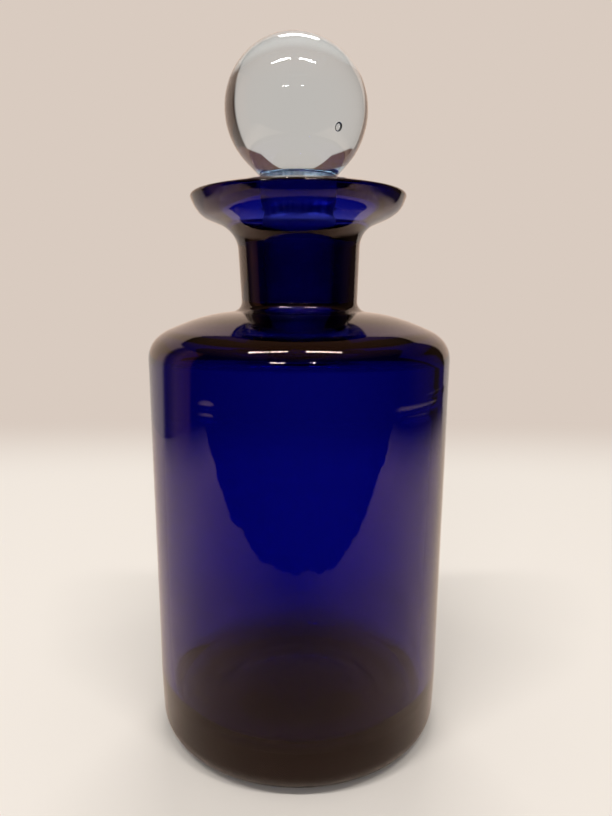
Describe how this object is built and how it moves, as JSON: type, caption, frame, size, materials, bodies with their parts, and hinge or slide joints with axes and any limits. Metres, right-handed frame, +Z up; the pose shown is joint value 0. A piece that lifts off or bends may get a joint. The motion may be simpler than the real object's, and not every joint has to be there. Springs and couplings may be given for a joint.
{
  "type": "poison bottle",
  "caption": "Round blown glass bottle with a short thick neck and a flared lip, closed by a solid glass ball stopper whose ground tapered plug lifts out of the neck.",
  "frame": {"origin": "centre of the foot ring, on the bottle's axis, at the level of the surface that it stands on", "axes": "+Z up along the bottle's axis, the way the stopper lifts out; the bottle is round, so +X and +Y are any level pair, with -Y towards the viewer of the picture"},
  "size_m": [0.08, 0.08, 0.1842],
  "materials": {
    "cobalt_glass": "blown and fire-polished, ground inside the neck",
    "clear_glass": "fire-polished ball, ground plug"
  },
  "bodies": {
    "bottle": {"bottle": "cobalt_glass"},
    "stopper": {"stopper": "clear_glass"}
  },
  "joints": [
    {"name": "stopper_lift", "type": "slide", "parent": "bottle", "child": "stopper", "axis": [0, 0, 1], "range_m": [0, 0.06]}
  ]
}
